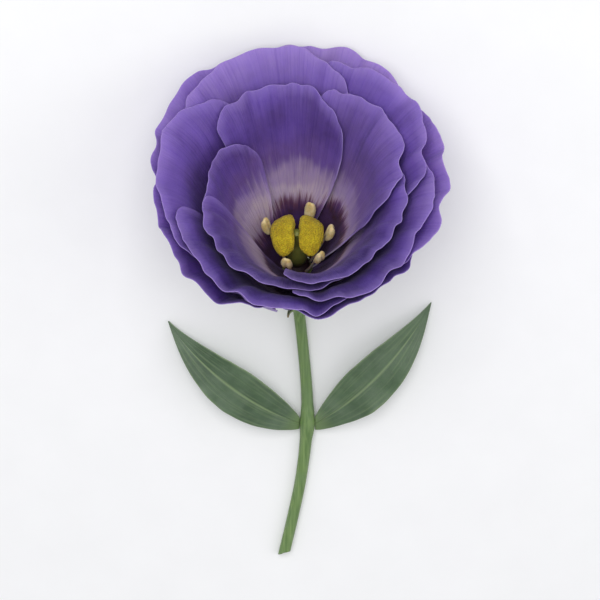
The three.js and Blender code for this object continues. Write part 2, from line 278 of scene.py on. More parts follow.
# Base is radius and height on the bloom's axis, and root is how far the claw is drawn in to the knob
# there. The midline leans out by claw, wall and rim degrees, over the runs of the claw and the rim.
# Front is how much further it leans at the upper side, and roll how much further its rim does.
# Spread is half of a petal's width in degrees, tilt how far its left side stands out over the
# neighbour, and waves the height of the waves that the row has in common with the others.
# A petal is its azimuth, length, the size of its own ruffles, how much longer its left side is,
# how much fuller its corners are, and how far its violet is washed out.
ROWS = {
    "outer_petal": {
        "base": (4.7, -2.1), "root": 0.35, "claw": 56, "wall": 22, "rim": 72,
        "claw_run": 20, "rim_run": 12, "length": 46.5, "spread": 49,
        "front": 5.0, "roll": -22, "tilt": 0.95, "waves": 1.0,
        "petals": [(66, 47, 0.9, 0.02, 0.0, 0.3), (-8, 46.5, 1.2, 0, 0.03, 0.12),
                   (-80, 44.5, 0.9, 0, 0.06, 0.0), (-151, 45.5, 1.0, 0, 0.03, 0.04),
                   (138, 47, 0.9, -0.02, 0.0, 0.08)]},
    "middle_petal": {
        "base": (4.0, -0.9), "root": 0.25, "claw": 46, "wall": 21.5, "rim": 62,
        "claw_run": 18, "rim_run": 11, "length": 46.2, "spread": 50,
        "front": 8.0, "roll": -4, "tilt": 0.85, "waves": 0.9,
        "petals": [(102, 47, 0.8, 0.03, 0.0, 0.12), (31, 46.5, 1.0, 0, 0.0, 0.0),
                   (-42, 45.5, 0.9, 0, 0.12, 0.08), (-113, 45.5, 0.9, 0, 0.12, 0.0),
                   (174, 46.5, 0.8, 0, 0.0, 0.0)]},
    "inner_petal": {
        "base": (3.3, 0.3), "root": 0.15, "claw": 35, "wall": 20, "rim": 46,
        "claw_run": 13, "rim_run": 10, "length": 41, "spread": 51,
        "front": 8.5, "roll": 8, "tilt": 0.85, "waves": 0.7,
        "petals": [(97, 40, 0.6, 0.04, 0.0, 0.0), (25, 41.5, 0.8, 0, 0.0, 0.1),
                   (-46, 41, 0.7, 0, 0.14, 0.0), (-116, 40.3, 0.5, 0, 0.12, 0.06),
                   (177, 35.4, 0.7, 0, 0.0, 0.0)]},
}
PETAL_THICKNESS = 0.36
RIM_THINNESS = 0.55
PETAL_COLUMNS = 64
PETAL_STEPS = 46
MIDLINE_STEPS = 60
PETAL_CUP = 0.35
PETAL_SHOULDER = 0.78
PETAL_LOPSIDED = 0.08
MARGIN_ROUNDING = (2.0, 2.7)
OUTLINE_UNEVEN = 0.026
OUTLINE_NOTCHES = 0.009
RIM_CURL = 15
RIM_FINE_CURL = 6
SHARED_WAVE = 0.9
SHARED_RIM_WAVE = 1.3
FINE_FRILL = 0.4
SOFT_FOLD = 0.22
RIM_RISE = 0.5
CLAW_SPREAD = 38
CLAW_LENGTH = 8
ROOT_LENGTH = 3
RIM_HEIGHT = 38
RIM_SAG = 2.5
RIM_SAG_REACH = 20
LONGEST = 50
HALF_BREADTH = 22
# Strength of the painted shade on the petals' insides at the bloom's upper side
PAINTED_SHADE_STRENGTH = 0.95
BLOOM_TO_TABLE = Matrix.Translation(BLOOM_BASE) @ Matrix.Rotation(BLOOM_LIFT - math.pi / 2, 4, "X")


def ease(value, low, high):
    """0 below low, 1 above high, and a soft rise between them."""
    part = np.clip((value - low) / (high - low), 0, 1)
    return part * part * (3 - 2 * part)


def ripple(places, seed, finest):
    """A smooth run of uneven waves, about -1 to 1, up to the finest count over each unit of places."""
    draw = np.random.default_rng(seed)
    total = np.zeros_like(places)
    for count in range(1, finest + 1):
        height = draw.uniform(0.4, 1.0) / count ** 0.6
        total += height * np.sin(2 * np.pi * (count * places + draw.random()))
    return total / 2.2


def row_midline(row, length, wall, rim):
    """Distance, radius, height and lean at even steps along a midline, in mm and radians."""
    stride = length / MIDLINE_STEPS
    distance = (np.arange(MIDLINE_STEPS) + 0.5) * stride

    def lean(at):
        claw = row["claw"] + (wall - row["claw"]) * ease(at, 0, row["claw_run"])
        return np.radians(claw + (rim - wall) * ease(at, length - row["rim_run"], length))

    radius = row["base"][0] + np.concatenate([[0], np.cumsum(np.sin(lean(distance)) * stride)])
    height = row["base"][1] + np.concatenate([[0], np.cumsum(np.cos(lean(distance)) * stride)])
    knots = np.arange(MIDLINE_STEPS + 1) * stride
    # A point a little past the end lets a petal be longer than its row's run
    knots, radius, height = (np.append(line, 2 * line[-1] - line[-2]) for line in (knots, radius, height))
    return knots, radius, height, lean(knots)


def petal_surface(row, azimuth, length, ruffle, lopsided, fullness, seed):
    """The petal's points in mm on the bloom's axes, and each point's place on it:
    across from -1 to 1, distance from the claw as a share of the longest, and mm from its outline."""
    count = PETAL_COLUMNS + 1
    across = np.sin(np.pi * (np.arange(count) / PETAL_COLUMNS - 0.5))
    # The margin that lies inside is rounded off more than the one that lies outside
    inside_rounding, outside_rounding = MARGIN_ROUNDING
    rounding = np.where(across < 0, inside_rounding + 2 * fullness, outside_rounding)
    crown = np.clip(1 - np.abs(across) ** rounding, 0, 1) ** (1 / rounding)
    shoulder = PETAL_SHOULDER + fullness + PETAL_LOPSIDED * across * (1 - 8 * fullness)
    # The outline is a little uneven, with shallow notches
    uneven = OUTLINE_UNEVEN * ripple(across * 0.9, seed, 4)
    uneven = uneven + OUTLINE_NOTCHES * ripple(across * 2.6, seed + 1, 10)
    reach = length * (shoulder + (1 - shoulder) * crown)
    reach *= (1 + uneven * (0.3 + 0.7 * crown)) * (1 + lopsided * across)
    azimuths = azimuth + across * row["spread"]
    front = (1 - np.sin(np.radians(azimuths))) / 2
    points = np.zeros((PETAL_STEPS + 1, count, 3))
    places = np.zeros((PETAL_STEPS + 1, count, 3))
    shares = 1 - (1 - np.arange(PETAL_STEPS + 1) / PETAL_STEPS) ** 1.15
    curl = RIM_CURL * ripple(across * 0.6, seed + 2, 3) + RIM_FINE_CURL * ripple(across * 2.1, seed + 6, 3)
    curl *= 1 - across ** 2
    run = 0.7 * row["length"] + 0.3 * length
    for column, side in enumerate(across):
        wall = row["wall"] + row["front"] * front[column] ** 2
        rim = row["rim"] + row["roll"] * front[column] + curl[column]
        knots, radii, heights, leans = row_midline(row, run, wall, rim)
        distance = shares * reach[column]
        radius = np.interp(distance, knots, radii) - row["root"] * (1 - ease(distance, 0, ROOT_LENGTH))
        height = np.interp(distance, knots, heights)
        lean = np.interp(distance, knots, leans)
        opened = ease(distance, CLAW_LENGTH / 2, length * 0.5)
        lifted = 0.35 + 0.65 * ease(distance, 0, CLAW_LENGTH)
        turn = np.radians(azimuth + side * (CLAW_SPREAD + (row["spread"] - CLAW_SPREAD) * opened))
        upper = ease(shares, 0.25, 0.9)
        outwards = lifted * (row["tilt"] * (1 + 0.3 * upper) * side - PETAL_CUP * side ** 2)
        # Waves that all rows share, so that they nest, and then ruffles and folds of the petal's own
        near_rim = ease(shares, 0.6, 1.0)
        around = turn / (2 * np.pi)
        outwards += row["waves"] * upper * SHARED_WAVE * ripple(around * 3 + 0.1 * shares, 7, 3)
        outwards += row["waves"] * near_rim * SHARED_RIM_WAVE * ripple(around * 9 + 0.3 * shares, 8, 3)
        calm = 1 - 0.7 * abs(side) ** 2
        frill = ripple(side * 1.4 + 0.25 * shares, seed + 3, 4)
        fine = ripple(side * 4.5 + 0.4 * shares, seed + 4, 4)
        outwards += ruffle * calm * (near_rim ** 1.5 * frill + near_rim ** 3 * FINE_FRILL * fine)
        outwards += SOFT_FOLD * upper * calm * ripple(side * 2.2 + 0.1 * shares, seed + 7, 3)
        radius = radius + outwards * np.cos(lean)
        height = height - outwards * np.sin(lean)
        height = height + ruffle * near_rim ** 2 * RIM_RISE * ripple(side * 2.1 + 0.3, seed + 5, 4)
        x, y = radius * np.cos(turn), radius * np.sin(turn)
        y = y + RIM_SAG * (height / RIM_HEIGHT) ** 2 * ease(y, -RIM_SAG_REACH, RIM_SAG_REACH)
        points[:, column] = np.stack([x, y, height], 1)
        edge = np.minimum(reach[column] - distance, (1 - abs(side)) * HALF_BREADTH * (0.3 + shares))
        places[:, column] = np.stack([np.full_like(distance, side), distance / LONGEST, edge], 1)
    return points.reshape(-1, 3), places.reshape(-1, 3)


def colour_ramp(tree, factor, stops):
    """Colours at their places along a factor."""
    ramp = add_node(tree, "ShaderNodeValToRGB", {"Fac": factor})
    ramp.color_ramp.interpolation = "EASE"
    while len(ramp.color_ramp.elements) < len(stops):
        ramp.color_ramp.elements.new(0.5)
    for element, (place, colour) in zip(ramp.color_ramp.elements, stops):
        element.position = place
        element.color = colour
    return ramp.outputs["Color"]


# Veins: fine lines of light and dark that run along a blade and fan out with it
veining = bpy.data.node_groups.new("blade_veins", "ShaderNodeTree")
given, put = group_sockets(
    veining,
    [("Across", "NodeSocketFloat"), ("Along", "NodeSocketFloat"), ("Count", "NodeSocketFloat")],
    [("Vein", "NodeSocketFloat")])
at = add_node(veining, "ShaderNodeCombineXYZ", {
    "X": maths(veining, "MULTIPLY", given["Across"], given["Count"]),
    "Y": maths(veining, "MULTIPLY", given["Along"], 2.2)})
veining.links.new(grain(veining, at.outputs["Vector"], 1.0, 3.0, 0.55), put["Vein"])


def fine_veins(tree, part, count):
    """Veins on a blade, from how far across and along it each part is."""
    made = add_node(tree, "ShaderNodeGroup", {
        "Across": part["X"], "Along": part["Y"], "Count": count}, node_tree=veining)
    return made.outputs["Vein"]


def own_value(tree, name, output):
    """A value that a piece's mesh keeps for each of its points."""
    made = add_node(tree, "ShaderNodeAttribute", attribute_type="GEOMETRY", attribute_name=name)
    return made.outputs[output]


def part_of_blade(tree, name):
    """X is across a blade from -1 to 1, Y along it from its base, and Z a petal's mm to its outline."""
    return add_node(tree, "ShaderNodeSeparateXYZ", {"Vector": own_value(tree, name, "Vector")}).outputs


# Colours along a petal, by share of the longest: throat, violet and rim, inside and on its back. Inside,
# the darkest violet, from 0.5 to 0.84, is partly the petal's own deep violet and partly painted shade of
# the bowl's wall
THROAT = [(0.0, srgb(146, 126, 136)), (0.2, srgb(178, 160, 168)), (0.32, srgb(188, 170, 180)),
          (0.4, srgb(160, 140, 168)), (0.5, srgb(98, 72, 132)), (0.62, srgb(78, 54, 120)),
          (0.84, srgb(98, 73, 149)), (1.0, srgb(132, 107, 180))]
BACKS = [(0.0, srgb(202, 210, 172)), (0.18, srgb(204, 198, 206)), (0.42, srgb(156, 136, 190)),
         (0.7, srgb(118, 94, 166)), (1.0, srgb(134, 110, 184))]
WASHED_OUT = srgb(170, 144, 192)
# The violet that the painted shade multiplies in
PAINTED_SHADE_VIOLET = srgb(112, 80, 146)
EYE = srgb(52, 24, 16)
EYE_EDGE = srgb(108, 62, 58)


def petal_material(name, stops, deep, edge_highlight_colour, edge_highlight_share, eye_and_shade_share):
    """Pale throat, violet and a lighter rim, veined, with a painted highlight along the outline. The eye
    and the painted shade on the violet show by the eye-and-shade share, so that a back has neither."""
    made, tree, shader, place = new_material(name)
    part = part_of_blade(tree, "petal_place")
    veins = fine_veins(tree, part, 13.0)
    threads = fine_veins(tree, part, 48.0)
    clouds = grain(tree, place, 110.0, 2.0)
    feather = maths(tree, "ADD", span(tree, veins, 0.2, 0.8, -0.045, 0.045),
                     span(tree, clouds, 0.2, 0.8, -0.06, 0.06))
    along = maths(tree, "ADD", part["Y"], feather)
    colour = colour_ramp(tree, along, stops)
    # Above 0 the violet is washed out, and below 0 it is darkened with painted shade
    paleness = own_value(tree, "petal_paleness_and_shade", "Fac")
    colour = mixed(tree, paleness, colour, WASHED_OUT)
    painted_shade = span(tree, paleness, -1.0, 0.0, eye_and_shade_share, 0.0)
    colour = mixed(tree, painted_shade, colour, PAINTED_SHADE_VIOLET, "MULTIPLY")
    # The dark eye runs out into the throat along the veins, and reaches furthest on its right side
    rightwards = add_node(tree, "ShaderNodeSeparateXYZ", {"Vector": place}).outputs["X"]
    streaks = span(tree, threads, 0.25, 0.75, -0.035, 0.035)
    inwards = maths(tree, "ADD", span(tree, rightwards, -0.008, 0.012, 0.085, -0.05), streaks)
    inwards = maths(tree, "ADD", inwards, along)
    colour = mixed(tree, span(tree, inwards, 0.27, 0.33, eye_and_shade_share, 0.0), colour, EYE_EDGE)
    colour = mixed(tree, span(tree, inwards, 0.235, 0.3, eye_and_shade_share, 0.0), colour, EYE)
    colour = mixed(tree, span(tree, threads, 0.48, 0.75, 0.0, 0.33), colour, deep, "MULTIPLY")
    # A lighter band along the outline, wavering with the veins: a painted highlight where light catches
    # the petal's edge
    edge = maths(tree, "ADD", part["Z"], span(tree, veins, 0.2, 0.8, -0.8, 0.8))
    colour = mixed(tree, span(tree, edge, 0.0, 2.6, edge_highlight_share, 0.0), colour, edge_highlight_colour)
    colour, cells = in_tissue(tree, colour, mixed(tree, 0.5, colour, deep), 0.45, place, 4200.0)
    set_shader(tree, shader, Base_Color=colour, Roughness=span(tree, cells, 0.2, 0.8, 0.5, 0.7),
               Subsurface_Weight=0.15, Subsurface_Scale=0.0012, Subsurface_Radius=(0.8, 0.5, 1.0),
               Sheen_Weight=0.12, Sheen_Roughness=0.4, Sheen_Tint=srgb(200, 184, 232),
               Specular_IOR_Level=0.3)
    relief = maths(tree, "ADD", threads, maths(tree, "MULTIPLY", cells, 0.3))
    bump(tree, shader, maths(tree, "ADD", relief, maths(tree, "MULTIPLY", veins, 1.8)), 0.00025, 0.6)
    return made


petal_inside = petal_material(
    "petal_inside", THROAT, srgb(120, 90, 200), srgb(160, 136, 204), edge_highlight_share=0.3, eye_and_shade_share=1.0)
petal_back = petal_material(
    "petal_back", BACKS, srgb(190, 170, 226), srgb(172, 150, 210), edge_highlight_share=0.3, eye_and_shade_share=0.0)
petal_rim = petal_material(
    "petal_rim", BACKS, srgb(200, 184, 232), srgb(160, 138, 202), edge_highlight_share=0.35, eye_and_shade_share=0.0)


def blade(name, columns, steps, points, places, attribute):
    """A sheet of faces whose points are put where the real blade is, each with its place on it."""
    deselect()
    bpy.ops.mesh.primitive_grid_add(
        x_subdivisions=columns, y_subdivisions=steps, size=1, location=(0, 0, 0))
    piece = bpy.context.active_object
    piece.name = piece.data.name = name
    piece.data.vertices.foreach_set("co", (points * MM).astype(np.float32).ravel())
    layer = piece.data.attributes.new(attribute, "FLOAT_VECTOR", "POINT")
    layer.data.foreach_set("vector", places.astype(np.float32).ravel())
    piece.data.update()
    return piece


def smooth(piece):
    """Smooth shading all over the piece, which is selected alone."""
    deselect()
    piece.select_set(True)
    bpy.context.view_layer.objects.active = piece
    bpy.ops.object.shade_smooth()


def thicken(piece, thickness, materials, thinness=None):
    """Gives a blade its thickness, with a material for each face and the rim, and rounds it off.
    Thinness is each point's share of the thickness, where it isn't the same all over."""
    for material in materials:
        piece.data.materials.append(material)
    wall = piece.modifiers.new("thickness", "SOLIDIFY")
    if thinness is not None:
        group = piece.vertex_groups.new(name="thinness")
        for index, share in enumerate(thinness):
            group.add((index,), float(share), "REPLACE")
        wall.vertex_group = "thinness"
    wall.thickness = thickness * MM
    wall.offset = 0
    wall.material_offset = 1
    wall.material_offset_rim = 2
    round_off = piece.modifiers.new("rounding", "SUBSURF")
    round_off.levels = round_off.render_levels = 1
    bpy.context.view_layer.objects.active = piece
    for modifier in ("thickness", "rounding"):
        bpy.ops.object.modifier_apply(modifier=modifier)
    smooth(piece)


def on_table(points):
    """Points given on the bloom's axes, in mm, as they lie on the table."""
    turned = np.array(BLOOM_TO_TABLE)
    return points @ turned[:3, :3].T + turned[:3, 3]


for row_number, (row_name, row) in enumerate(ROWS.items()):
    for index, (*shape, paleness) in enumerate(row["petals"]):
        points, places = petal_surface(row, *shape, 100 * row_number + 10 * index + 11)
        # Painted shade: from about a third of their length out, the insides are darkened at the bloom's
        # upper side, where the petals' walls stand in its shade
        painted_shade_side = ease(-points[:, 1] / np.hypot(points[:, 0], points[:, 1]), 0.2, 0.95)
        tone_with_painted_shade = paleness - PAINTED_SHADE_STRENGTH * painted_shade_side * ease(places[:, 1], 0.3, 0.55)
        name = f"{row_name}_blade_{index + 1}"
        petal = blade(name, PETAL_COLUMNS, PETAL_STEPS, on_table(points), places, "petal_place")
        layer = petal.data.attributes.new("petal_paleness_and_shade", "FLOAT", "POINT")
        layer.data.foreach_set("value", tone_with_painted_shade.astype(np.float32))
        thinness = 1 - (1 - RIM_THINNESS) * ease(places[:, 1], 0.1, 0.9)
        thicken(petal, PETAL_THICKNESS, (petal_back, petal_inside, petal_rim), thinness)
        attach(petal, "root")
        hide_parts(f"{row_name}_{index + 1}")

# ---------------------------------------------------------------------------------------------
# Sepals. Five narrow green needles with a raised keel, firm and a little waxy. They grow from the
# knob outside the petals, lie against the petals' backs and spread at their dry, pointed tips.
# ---------------------------------------------------------------------------------------------

SEPAL_AZIMUTHS = (48, 120, 192, 264, 336)
SEPAL_ROW = {"base": (3.95, -4.0), "claw": 64, "wall": 34, "rim": 55, "claw_run": 11.5, "rim_run": 6}
SEPAL_LENGTH = 20.5
SEPAL_HALF_WIDTH = 1.15
SEPAL_KEEL = 0.55
SEPAL_BEND = 0.5
SEPAL_WAVE = 0.4
SEPAL_THICKNESS = 0.38
SEPAL_COLUMNS = 12
SEPAL_STEPS = 40

sepal_skin, tree, shader, place = new_material("sepal_skin")
part = part_of_blade(tree, "sepal_place")
lines = fine_veins(tree, part, 5.0)
green = colour_ramp(tree, part["Y"], [
    (0.0, srgb(176, 190, 104)), (0.45, srgb(140, 164, 78)),
    (0.88, srgb(112, 140, 66)), (1.0, srgb(150, 120, 74))])
off_centre = maths(tree, "ABSOLUTE", part["X"])
green = mixed(tree, span(tree, off_centre, 0.0, 0.35, 0.4, 0.0), green, srgb(186, 200, 120))
green = mixed(tree, span(tree, lines, 0.45, 0.7, 0.0, 0.35), green, srgb(96, 122, 56))
green, cells = in_tissue(tree, green, srgb(120, 146, 92), 0.4, place, 4000.0)
set_shader(tree, shader, Base_Color=green, Roughness=span(tree, cells, 0.2, 0.8, 0.45, 0.62),
           Subsurface_Weight=0.12, Subsurface_Scale=0.001)
bump(tree, shader, maths(tree, "ADD", lines, maths(tree, "MULTIPLY", cells, 0.4)), 0.00012, 0.6)

knots, radii, heights, leans = row_midline(SEPAL_ROW, SEPAL_LENGTH, SEPAL_ROW["wall"], SEPAL_ROW["rim"])
share = np.repeat(np.arange(SEPAL_STEPS + 1) / SEPAL_STEPS, SEPAL_COLUMNS + 1)
across = np.tile(np.arange(SEPAL_COLUMNS + 1) / SEPAL_COLUMNS * 2 - 1, SEPAL_STEPS + 1)
places = np.stack([across, share, np.zeros_like(share)], 1)
midline = [np.interp(share * SEPAL_LENGTH, knots, line) for line in (radii, heights, leans)]
# A needle narrows all the way to its tip, and is drawn in a little at its base
half_width = SEPAL_HALF_WIDTH * (1 - 0.9 * share ** 1.3) * (1 - 0.25 * np.exp(-(share / 0.08) ** 2))
keel_height = (1 - np.abs(across)) ** 1.5 * half_width * SEPAL_KEEL
for index, azimuth in enumerate(SEPAL_AZIMUTHS):
    radius, height, lean = midline
    bend = SEPAL_BEND * ripple(share * 0.8, 300 + index, 2) * share
    outwards = keel_height + SEPAL_WAVE * ripple(share, 320 + index, 2) * share ** 2
    turn = math.radians(azimuth) + (across * half_width + bend) / radius
    radius = radius + outwards * np.cos(lean)
    height = height - outwards * np.sin(lean)
    points = on_table(np.stack([radius * np.cos(turn), radius * np.sin(turn), height], 1))
    sepal = blade(f"sepal_needle_{index + 1}", SEPAL_COLUMNS, SEPAL_STEPS, points, places, "sepal_place")
    thicken(sepal, SEPAL_THICKNESS, (sepal_skin, sepal_skin, sepal_skin))
    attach(sepal, "root")
    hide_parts(f"sepal_{index + 1}")

# ---------------------------------------------------------------------------------------------
# Stamens. Each is a pale, thin filament, dark where it leaves the eye of the bloom, that carries
# one long cream anther of two halves, split along its front and dusty with pollen.
# ---------------------------------------------------------------------------------------------

STAMEN_AZIMUTHS = (67, 8, -48, -108, 158)
# Distance from the bloom's axis, height along it, and the radius
FILAMENT_ROUTE = [(2.7, 1.5, 0.34), (4.0, 4.6, 0.3), (5.2, 8.4, 0.26), (5.9, 10.6, 0.22),
                  (6.3, 11.6, 0.18)]
FILAMENT_SIDES = 12
FILAMENT_STEPS = 5
ANTHER_FOOT = (6.0, 10.2)
ANTHER_TIP = (7.3, 14.8)
ANTHER_SIZE = (1.2, 0.9)
ANTHER_FURROW = 0.42
ANTHER_ROUGHNESS = 0.09
ANTHER_BOW = 0.35

filament_skin, tree, shader, place = new_material("filament_skin")
streaks = grain(tree, place, 1600.0, 2.0)
pale, cells = in_tissue(tree, mixed(tree, streaks, srgb(196, 186, 150), srgb(150, 130, 130)),
                        srgb(120, 84, 100), 0.5, place, 4000.0)
set_shader(tree, shader, Base_Color=pale, Roughness=span(tree, cells, 0.2, 0.8, 0.45, 0.65),
           Subsurface_Weight=0.2, Subsurface_Scale=0.001)
bump(tree, shader, cells, 0.00006, 0.6)

anther_skin, tree, shader, place = new_material("anther_skin")
dust = grain(tree, place, 5200.0, 4.0, 0.75)
shades = grain(tree, place, 620.0, 2.0)
cream = mixed(tree, span(tree, shades, 0.35, 0.65), srgb(206, 176, 96), srgb(232, 212, 156))
cream = mixed(tree, span(tree, dust, 0.5, 0.7, 0.0, 0.7), cream, srgb(240, 226, 170))
set_shader(tree, shader, Base_Color=cream, Roughness=span(tree, dust, 0.2, 0.8, 0.7, 0.95),
           Sheen_Weight=0.2, Sheen_Roughness=0.6, Subsurface_Weight=0.1, Subsurface_Scale=0.0006)
bump(tree, shader, dust, 0.00016, 0.8)


def round_axis(radius, height, azimuth):
    """A place on the bloom's axes, in mm."""
    return Vector((radius * math.cos(azimuth), radius * math.sin(azimuth), height))


def join_onto(piece, others):
    """Makes one mesh of a piece and the others that grew as one with it."""
    deselect()
    for part_made in (*others, piece):
        part_made.select_set(True)
    bpy.context.view_layer.objects.active = piece
    bpy.ops.object.join()
    face_outwards()


for index, azimuth in enumerate(STAMEN_AZIMUTHS):
    turn = math.radians(azimuth)
    knots = [(BLOOM_TO_TABLE @ round_axis(radius, height, turn) * MM, thick * MM)
             for radius, height, thick in FILAMENT_ROUTE]
    filament = stalk(f"filament_{index + 1}", knots, FILAMENT_SIDES, FILAMENT_STEPS)
    filament.data.materials.append(filament_skin)
    smooth(filament)
    # An anther starts as a ball, is drawn out to a spindle, and gets a furrow down each face
    deselect()
    bpy.ops.mesh.primitive_uv_sphere_add(segments=36, ring_count=24, radius=1, location=(0, 0, 0))
    anther = bpy.context.active_object
    foot, tip = (BLOOM_TO_TABLE @ round_axis(*at, turn) for at in (ANTHER_FOOT, ANTHER_TIP))
    along = (tip - foot).normalized()
    side = along.cross(BLOOM_TO_TABLE.to_3x3() @ round_axis(1, 0, turn)).normalized()
    facing = side.cross(along)
    for vertex in anther.data.vertices:
        x, y, z = vertex.co
        furrow = 1 - ANTHER_FURROW * math.exp(-(x / 0.26) ** 2)
        body = (1 - z ** 2) ** -0.18 if abs(z) < 0.98 else 1.6
        rough = 1 + ANTHER_ROUGHNESS * noise.noise(Vector((x * 3, y * 3, z * 5 + index * 7)))
        offset = side * x * ANTHER_SIZE[0] * body + facing * y * ANTHER_SIZE[1] * furrow * body
        centre = foot.lerp(tip, 0.5 + 0.5 * z) + facing * (ANTHER_BOW * (1 - z ** 2))
        vertex.co = (centre + offset * rough) * MM
    anther.data.materials.append(anther_skin)
    smooth(anther)
    join_onto(filament, [anther])
    filament.name = filament.data.name = f"stamen_with_anther_{index + 1}"
    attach(filament, "root")
    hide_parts(f"stamen_{index + 1}")

# ---------------------------------------------------------------------------------------------
# Pistil. A plump green ovary drawn out into a style, with the stigma on top: two broad golden
# lobes, velvety with fine warts that hold the pollen. It all grew as one.
# ---------------------------------------------------------------------------------------------

# Height on the bloom's axis and radius, from the ovary's foot to the top of the style
PISTIL_PROFILE = [(2.4, 1.3), (3.2, 1.95), (5.0, 2.3), (6.6, 2.1), (8.2, 1.5), (9.6, 0.8),
                  (11.2, 0.66), (13.0, 0.72), (14.1, 0.9)]
PISTIL_SIDES = 24
PISTIL_STEPS = 5
LOBE_SIZE = (3.1, 4.8, 1.5)
LOBE_OFFSET = 2.75
LOBE_HEIGHT = 14.1
LOBE_DROOP = math.radians(22)
LOBE_WAVE = 0.12
LOBE_NECK = 0.28
LOBE_DIMPLE = 0.35
LOBE_WARTS = 0.05
LOBE_SAG = 0.054

ovary_skin, tree, shader, place = new_material("ovary_skin")
green, cells = in_tissue(tree, srgb(132, 138, 62), srgb(92, 92, 44), 0.6, place, 3600.0)
# The ovary darkens towards its foot
shaded = span(tree, up_the_bloom(tree, place), KNOB_TOP + 0.003, KNOB_TOP + 0.009, 0.9, 0.0)
green = mixed(tree, shaded, green, srgb(44, 28, 22))
set_shader(tree, shader, Base_Color=green, Roughness=span(tree, cells, 0.2, 0.8, 0.4, 0.6),
           Subsurface_Weight=0.15, Subsurface_Scale=0.001)
bump(tree, shader, cells, 0.00008, 0.6)

stigma_velvet, tree, shader, place = new_material("stigma_velvet")
warts = add_node(tree, "ShaderNodeTexVoronoi", {"Vector": place, "Scale": 3600.0}).outputs["Distance"]
shades = grain(tree, place, 700.0, 3.0)
gold = mixed(tree, span(tree, shades, 0.35, 0.65), srgb(186, 160, 4), srgb(218, 194, 18))
# The gaps between the warts are darker olive: painted shade in the crevices
gold = mixed(tree, span(tree, warts, 0.3, 0.8, 0.0, 0.5), gold, srgb(112, 92, 6))
set_shader(tree, shader, Base_Color=gold, Roughness=span(tree, warts, 0.0, 0.8, 0.65, 0.9),
           Sheen_Weight=0.06, Sheen_Roughness=0.5, Subsurface_Weight=0.1, Subsurface_Scale=0.0008)
bump(tree, shader, maths(tree, "MULTIPLY", warts, -1.0), 0.00025, 0.9)

knots = [(BLOOM_TO_TABLE @ Vector((0, 0, height)) * MM, radius * MM) for height, radius in PISTIL_PROFILE]
pistil = stalk("pistil_with_stigma", knots, PISTIL_SIDES, PISTIL_STEPS)
pistil.data.materials.append(ovary_skin)
smooth(pistil)
lobes = []
for side in (-1, 1):
    deselect()
    bpy.ops.mesh.primitive_uv_sphere_add(segments=72, ring_count=48, radius=1, location=(0, 0, 0))
    lobe = bpy.context.active_object
    turned = Matrix.Rotation(side * LOBE_DROOP, 3, "Y")
    for vertex in lobe.data.vertices:
        x, y, z = vertex.co
        # Kidney-shaped: fuller on the outer side, drawn in where the lobes meet, with a wavy edge
        flank = 1 + LOBE_WAVE * noise.noise(Vector((x * 1.6 + side * 5, y * 1.6, 2.0)))
        inner = max(0.0, -side * x)
        drawn_in = 1 - LOBE_NECK * inner * (1 - abs(y))
        dimple = math.exp(-((x + side * 0.35) ** 2 + (y * 0.7) ** 2) / 0.12) * (z > 0)
        wart = LOBE_WARTS * noise.noise(vertex.co * 9 + Vector((side * 3, 0, 0)))
        shape = Vector((x * flank * drawn_in, y * flank, z - LOBE_DIMPLE * dimple))
        shape = shape * Vector(LOBE_SIZE) * (1 + wart)
        shape.z -= LOBE_SAG * shape.y ** 2
        vertex.co = BLOOM_TO_TABLE @ (turned @ shape + Vector((side * LOBE_OFFSET, 0, LOBE_HEIGHT))) * MM
    lobe.data.materials.append(stigma_velvet)
    smooth(lobe)
    lobes.append(lobe)
join_onto(pistil, lobes)
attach(pistil, "root")
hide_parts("pistil")

# ---------------------------------------------------------------------------------------------
# Leaves. A pair of narrow stalkless leaves, one on each side of the stem's joint, thick and
# blue-green under a waxy bloom, with a sunk midrib and a few veins that run along the blade.
# ---------------------------------------------------------------------------------------------

# Corners of each midrib's course, from the bloom's base in x and y, and above the table in z
LEAF_MIDRIBS = {
    "leaf_left": [(-0.3, -40.2, 2.2), (-8, -34.9, 5.2), (-18, -26.9, 5.4), (-28, -16.4, 0.7)],
    "leaf_right": [(4.9, -40, 2.2), (12, -33.4, 4.6), (21, -23.4, 4.6), (29, -11.9, 0.7)],
}
LEAF_TWISTS = {"leaf_left": math.radians(7), "leaf_right": math.radians(-9)}
LEAF_HALF_WIDTH = 5.2
LEAF_BASE_HALF_WIDTH = 1.15
LEAF_LEAST_HALF_WIDTH = 0.08
LEAF_THICKNESS = 0.42
LEAF_TROUGH = 0.12
MIDRIB_GROOVE = 0.22
LEAF_SWAY = 0.5
LEAF_FINE_SWAY = 0.45
JOINT_PLACE = 2.2
JOINT_REACH = 1.66
LEAF_COLUMNS = 36
LEAF_STEPS = 64


